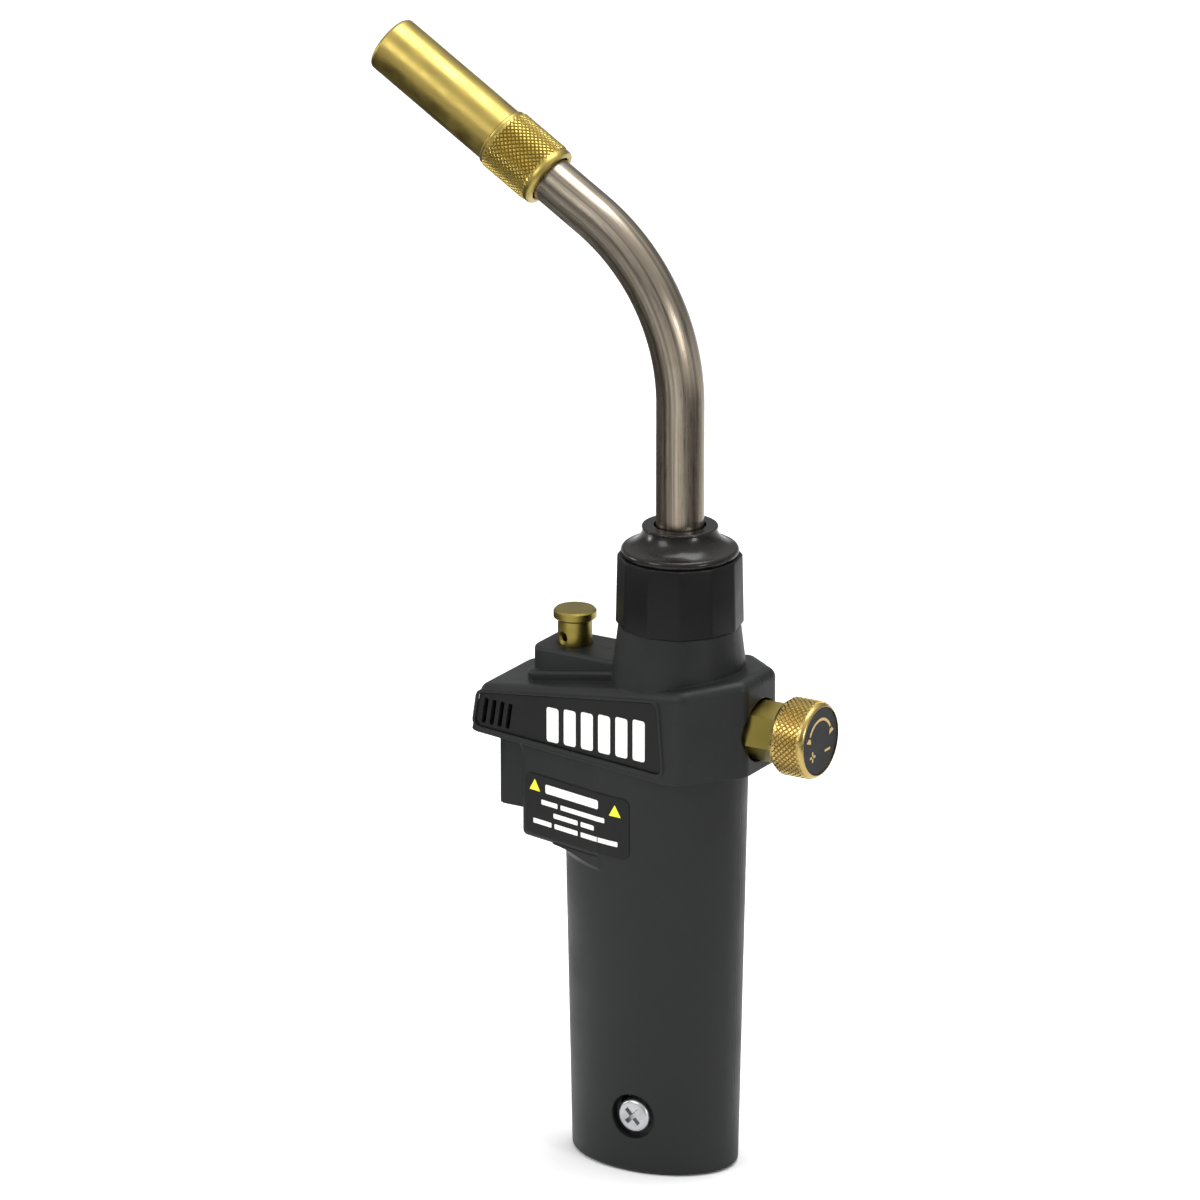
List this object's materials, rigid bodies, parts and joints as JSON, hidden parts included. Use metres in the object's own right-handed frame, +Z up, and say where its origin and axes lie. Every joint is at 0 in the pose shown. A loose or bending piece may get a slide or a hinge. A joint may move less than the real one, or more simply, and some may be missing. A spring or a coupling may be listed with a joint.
{
  "type": "propane torch",
  "caption": "Trigger-start gas torch head: bent burner tube and nozzle, flame knob, lock button, sprung trigger and a threaded socket for a fuel cylinder.",
  "frame": {"origin": "centre of the cylinder thread's mouth, in the flat foot of the handle", "axes": "+Z up along the handle; -X to the front, towards the trigger and the flame; +X to the rear, towards the flame knob; the shells part on Y = 0 and -Y is the left side"},
  "size_m": [0.1359, 0.04, 0.3031],
  "materials": {
    "housing_plastic": "satin moulded",
    "panel_film": "printed film",
    "nut_plastic": "satin moulded",
    "trigger_plastic": "satin moulded",
    "collar_enamel": "gloss enamel",
    "stainless_tube": "brushed",
    "zinc_steel": "zinc plated",
    "cast_alloy": "as cast",
    "brass": "machined",
    "rubber": "moulded",
    "insulator_ceramic": "unglazed"
  },
  "bodies": {
    "housing": {"left_shell": "housing_plastic", "right_shell": "housing_plastic", "left_panel": "panel_film", "right_panel": "panel_film", "left_label": "panel_film", "neck_nut": "nut_plastic", "bell_collar": "collar_enamel", "tube_clamp": "zinc_steel", "burner_tube": "stainless_tube", "knurled_ring": "brass", "burner_sleeve": "brass", "flame_holder": "brass", "ceramic_insulator": "insulator_ceramic", "spark_electrode": "stainless_tube", "ignition_wire": "rubber", "piezo_body": "nut_plastic", "inlet_body": "brass", "inlet_seal": "rubber", "depressor_pin": "brass", "inlet_filter": "brass", "regulator_body": "cast_alloy", "regulator_diaphragm": "rubber", "regulator_spring": "zinc_steel", "regulator_cap": "cast_alloy", "gas_pipe": "brass", "valve_body": "brass", "gas_jet": "brass", "hex_bonnet": "brass", "spindle_oring": "rubber", "lever_pin": "zinc_steel", "valve_spring": "zinc_steel", "lock_button_spring": "zinc_steel", "handle_screws": "zinc_steel", "shell_screws": "zinc_steel"},
    "trigger_body": {"trigger": "trigger_plastic", "piezo_plunger": "nut_plastic"},
    "lever_body": {"valve_lever": "zinc_steel"},
    "stem_body": {"valve_stem": "brass"},
    "button_body": {"lock_button": "brass"},
    "knob_body": {"flame_knob": "brass", "knob_disc": "panel_film", "needle_spindle": "brass"}
  },
  "joints": [
    {"name": "trigger_pull", "type": "slide", "parent": "housing", "child": "trigger_body", "axis": [1, 0, 0], "range_m": [0, 0.006], "stiffness_N_per_m": 1500, "springref_m": -0.004},
    {"name": "lever_swing", "type": "hinge", "parent": "housing", "child": "lever_body", "pos_m": [-0.018, 0, 0.1335], "axis": [0, -1, 0], "range_deg": [0, 12]},
    {"name": "valve_open", "type": "slide", "parent": "housing", "child": "stem_body", "axis": [1, 0, 0], "range_m": [0, 0.002]},
    {"name": "lock_press", "type": "slide", "parent": "housing", "child": "button_body", "axis": [0, 0, -1], "range_m": [0, 0.003], "stiffness_N_per_m": 800, "springref_m": -0.003, "deforming": ["lock_button_spring"]},
    {"name": "flame_knob_turn", "type": "hinge", "parent": "housing", "child": "knob_body", "pos_m": [0.042, 0, 0.1254], "axis": [1, 0, 0], "range_deg": [0, 270]}
  ],
  "couplings": [
    {"joint": "lever_swing", "follows": "trigger_pull", "rad_per_m": 34.903},
    {"joint": "valve_open", "follows": "trigger_pull", "ratio": 0.3333}
  ]
}
